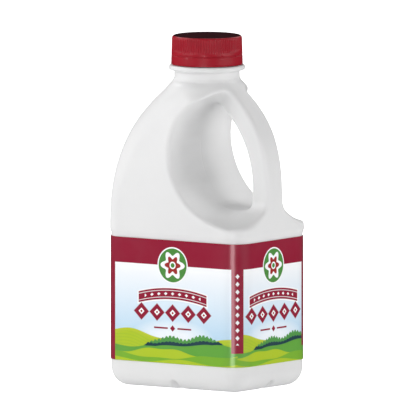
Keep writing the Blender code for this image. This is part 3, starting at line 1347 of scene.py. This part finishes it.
@dataclass
class LabelSleeve:
    """The printed sleeve: a thin wrapped film, closed by a lapped seam at a back corner."""

    half_x: float
    half_y: float
    bottom: float
    top: float
    corner: float = 11.7
    thick: float = 0.30
    lap: float = 4.0
    lap_rise: float = 0.12
    lap_run: float = 2.0
    lap_thin: float = 0.6
    seam: float = 209.0
    spacing: float = 1.6
    rows: int = 24
    crease: float = math.radians(40.0)

    def place(self, along: float, inset: float) -> Point:
        """Find a place of the rounded outline.

        Args:
            along: The way round from the middle of the front, towards the handle.
            inset: How far inside the outline it is.

        Returns:
            X and Y.
        """
        wide, deep = self.half_x - self.corner, self.half_y - self.corner
        bend = math.pi / 2 * self.corner
        rest = along % (4 * wide + 4 * deep + 4 * bend)
        stretches = ((wide, 0.0), (2 * deep, 0.5), (2 * wide, 1.0), (2 * deep, 1.5), (wide, 2.0))
        centres = ((wide, -deep), (wide, deep), (-wide, deep), (-wide, -deep))
        x, y = 0.0, -self.half_y + inset
        for index, (run, heading) in enumerate(stretches):
            turn = heading * math.pi
            if rest <= run or index == 4:
                return x + rest * math.cos(turn), y + rest * math.sin(turn)
            rest -= run
            centre_x, centre_y = centres[index]
            reach = self.corner - inset
            if rest <= bend:
                angle = turn - math.pi / 2 + rest / self.corner
                return centre_x + reach * math.cos(angle), centre_y + reach * math.sin(angle)
            rest -= bend
            x, y = centre_x + reach * math.cos(turn), centre_y + reach * math.sin(turn)
        return x, y

    def length(self) -> float:
        """The way once round the outline."""
        wide, deep = self.half_x - self.corner, self.half_y - self.corner
        return 4 * wide + 4 * deep + math.tau * self.corner

    def bends(self) -> list[Point]:
        """Find where the way round passes the corners.

        Returns:
            Start and end of each corner, the back left one from both sides of the seam.
        """
        wide, deep = self.half_x - self.corner, self.half_y - self.corner
        bend = math.pi / 2 * self.corner
        back_right = wide + bend + 2 * deep
        back_left = back_right + bend + 2 * wide
        starts = (back_left - self.length(), -wide - bend, wide, back_right, back_left)
        return [(start, start + bend) for start in starts]

    def wall(self, shape: bmesh.types.BMesh, attribute: str, inner: bool) -> list[Row]:
        """Draw one face of the film.

        Args:
            shape: The shape that takes its vertices.
            attribute: The layer that keeps each vertex's place in the print.
            inner: Whether it is the face towards the jug.

        Returns:
            Its rows of vertices, from the bottom up.
        """
        wrap = shape.verts.layers.float_vector[attribute]
        start, way = self.seam - self.length(), self.length() + self.lap
        steps = round(way / self.spacing)
        rows = []
        for row in range(self.rows + 1):
            height = self.bottom + (self.top - self.bottom) * row / self.rows
            line = []
            for along in (start + way * step / steps for step in range(steps + 1)):
                over = smooth_share(np.array((along - self.seam + self.lap_run) / self.lap_run)).item()
                inset = self.lap_rise * (1.0 - over)
                inset += self.thick * (1.0 - self.lap_thin * over) if inner else 0.0
                vert = shape.verts.new((*self.place(along, inset), height))
                vert[wrap] = Vector((along, height, 0.0))
                line.append(vert)
            rows.append(line)
        return rows

    def build(self, finish: PrintedFilm) -> bpy.types.Object:
        """Build the sleeve over the frame's label node.

        Args:
            finish: The film with its print.

        Returns:
            The finished piece.
        """
        shape = bmesh.new()
        attribute = finish.artwork.attribute
        shape.verts.layers.float_vector.new(attribute)
        outer, inner = (self.wall(shape, attribute, inside) for inside in (False, True))
        for rows in (outer, inner):
            for lower, upper in zip(rows, rows[1:]):
                join_rows(shape, lower, upper)
        for end in (0, -1):
            join_rows(shape, outer[end], inner[end])
            join_rows(shape, [line[end] for line in outer], [line[end] for line in inner])
        mesh = mesh_from("label_sleeve", shape)
        mesh.set_sharp_from_angle(angle=self.crease)
        return place_piece("label_sleeve", mesh, "label", [finish.make()])


def direction(azimuth: float, elevation: float) -> Vector:
    """The way out from the jug, where azimuth 0 is the front and 90 the handle's side."""
    turn, lift = math.radians(azimuth), math.radians(elevation)
    return Vector((math.sin(turn) * math.cos(lift), -math.cos(turn) * math.cos(lift), math.sin(lift)))


@dataclass(frozen=True)
class SoftBox:
    """A studio lamp behind a diffuser, aimed at the jug."""

    name: str
    azimuth: float
    elevation: float
    reach: float
    width: float
    height: float
    power: float
    aim: float = 0.10
    only_gloss: bool = False

    def hang(self) -> None:
        """Hang the lamp."""
        lamp = bpy.data.lights.new(self.name, 'AREA')
        lamp.shape = 'RECTANGLE'
        lamp.size = self.width
        lamp.size_y = self.height
        lamp.energy = self.power
        piece = bpy.data.objects.new(self.name, lamp)
        out = direction(self.azimuth, self.elevation)
        piece.location = Vector((0.0, 0.0, self.aim)) + out * self.reach
        piece.rotation_euler = out.to_track_quat('Z', 'Y').to_euler()
        piece.visible_camera = False
        piece.visible_diffuse = not self.only_gloss
        bpy.context.scene.collection.objects.link(piece)


@dataclass
class Studio:
    """The papers, soft lamps, dim room and camera round the jug."""

    lamps: Sequence[SoftBox] = (
        SoftBox("front_high_lamp", -35.0, 45.0, 2.2, 0.9, 0.9, 5.3),
        SoftBox("front_lamp", -33.0, 20.0, 2.2, 1.6, 1.1, 24.5),
        SoftBox("left_lamp", -69.0, 20.0, 2.2, 0.7, 1.1, 4.0),
        SoftBox("left_high_lamp", -100.0, 45.0, 2.2, 0.9, 0.9, 16.0),
        SoftBox("corner_lamp", 22.0, 16.0, 2.2, 0.35, 1.1, 6.0),
        SoftBox("corner_strip", 25.5, 0.0, 0.35, 0.13, 0.20, 0.5, aim=0.04, only_gloss=True),
        SoftBox("side_lamp", 99.0, 14.0, 2.2, 2.0, 0.8, 26.0),
        SoftBox("back_lamp", 175.0, 34.0, 2.2, 1.4, 0.9, 8.0),
        SoftBox("back_high_lamp", -160.0, 60.0, 2.2, 0.9, 0.9, 5.0),
    )
    floor_radius: float = 7.0
    dome_radius: float = 9.0
    paper_glow: float = 1.1
    card_glow: float = 0.6
    pale: Colour = (0.86, 0.86, 0.87)
    grey: Colour = (0.38, 0.38, 0.385)
    room_low: Colour = (0.04, 0.04, 0.041)
    room_high: Colour = (0.02, 0.02, 0.02)
    azimuth: float = 35.0
    elevation: float = 6.0
    frame_width: float = 249.5
    frame_middle: Point = (1.8, 103.8)
    camera_reach: float = 1200.0

    def stage_sheet(self, name: str, shape: bmesh.types.BMesh, paper: StudioPaper, seen: bool,
                    drop: float = 0.0) -> None:
        """Put a sheet of paper on the stage, for the camera alone or for the light alone.

        Args:
            name: The sheet's name.
            shape: Its shape in metres, which is freed.
            paper: Its finish.
            seen: Whether it is for the camera.
            drop: How far it lies under the jug, in millimetres.
        """
        mesh = bpy.data.meshes.new(name)
        shape.to_mesh(mesh)
        shape.free()
        mesh.materials.append(paper.make())
        sheet = bpy.data.objects.new(name, mesh)
        sheet.location.z = -drop * MM
        sheet.visible_camera = seen
        sheet.visible_diffuse = not seen
        sheet.visible_shadow = not seen
        sheet.visible_glossy = False
        bpy.context.scene.collection.objects.link(sheet)

    def set_papers(self) -> None:
        """Set the white floor and dome that the camera sees, and the grey card that lights the jug."""
        floor = StudioPaper("floor_paper", self.pale, self.paper_glow)
        card = StudioPaper("card_paper", self.grey, self.card_glow)
        for name, paper, seen, drop in (("studio_floor", floor, True, 0.05),
                                        ("bounce_card", card, False, 0.10)):
            shape = bmesh.new()
            bmesh.ops.create_circle(shape, cap_ends=True, segments=96, radius=self.floor_radius)
            self.stage_sheet(name, shape, paper, seen, drop)
        dome = bmesh.new()
        bmesh.ops.create_icosphere(dome, subdivisions=4, radius=self.dome_radius)
        self.stage_sheet("backdrop", dome, StudioPaper("backdrop_paper", self.pale, self.paper_glow), True)

    def fill_room(self) -> None:
        """Fill the room with light that is dim at eye level and dimmer overhead."""
        world = bpy.data.worlds.new("dim_room")
        world.use_nodes = True
        bpy.context.scene.world = world
        bench = Bench(world.node_tree)
        _, _, up = bench.axes(bench.node('ShaderNodeTexCoord').outputs["Generated"])
        sky = bench.paint(self.room_low, up.above(0.35, 0.2), self.room_high)
        bench.dress(world.node_tree.nodes["Background"], {"Color": sky, "Strength": 1.0})

    def set_camera(self) -> None:
        """Set the camera at the photograph's angle and framing."""
        right, back = direction(self.azimuth + 90.0, 0.0), direction(self.azimuth, self.elevation)
        up = back.cross(right)
        lens = bpy.data.cameras.new("view")
        lens.type = 'ORTHO'
        lens.ortho_scale = self.frame_width * MM
        camera = bpy.data.objects.new("view", lens)
        across, high = self.frame_middle
        place = (right * across + up * high + back * self.camera_reach) * MM
        camera.matrix_world = Matrix.Translation(place) @ Matrix((right, up, back)).transposed().to_4x4()
        bpy.context.scene.collection.objects.link(camera)
        bpy.context.scene.camera = camera

    def build(self) -> None:
        """Set the whole studio."""
        self.set_papers()
        self.fill_room()
        for lamp in self.lamps:
            lamp.hang()
        self.set_camera()
        bpy.context.scene.view_settings.view_transform = 'Standard'
        bpy.context.scene.view_settings.look = 'None'
        LOG.info("studio: %d lamps", len(self.lamps))


def main() -> None:
    """Build the jug's pieces over the frame, then the studio."""
    logging.basicConfig(level=logging.INFO, format="%(name)s: %(message)s")
    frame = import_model()
    Studio().build()
    milky = MilkyPlastic()
    JugBody(milky).build(frame["nodes"]["jug"])
    NeckRing(milky).build()
    side = CapPlastic("cap_side_plastic", linear((160, 24, 40)), linear((146, 19, 34)),
                      roughness=0.32, stipple=0.3, gloss=0.2)
    # The top's plastic is coloured a far darker, browner red than the sides: painted shade, as if no light
    # fell on it from above.
    shaded_crown = CapPlastic("cap_top_painted_shade", linear((54, 30, 33)), linear((46, 25, 28)),
                       roughness=0.62, stipple=0.8, gloss=0.0)
    ScrewCap(side, shaded_crown).build()
    low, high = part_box("label")
    strips = (Strip(-120.4, -112.9, foot=8.5, beaded=True), Strip(-48.6, -41.1, foot=0.0),
              Strip(42.9, 50.5, foot=8.3, beaded=True), Strip(109.0, 116.6, foot=8.5),
              Strip(206.3, 213.8, foot=8.5, beaded=True))
    sleeve = LabelSleeve(high.x / MM, high.y / MM, bottom=low.z / MM, top=high.z / MM)
    artwork = SleevePrint(strips, sleeve.bends(), sleeve.bottom, sleeve.top)
    sleeve.build(PrintedFilm(artwork))


if __name__ == "__main__":
    main()
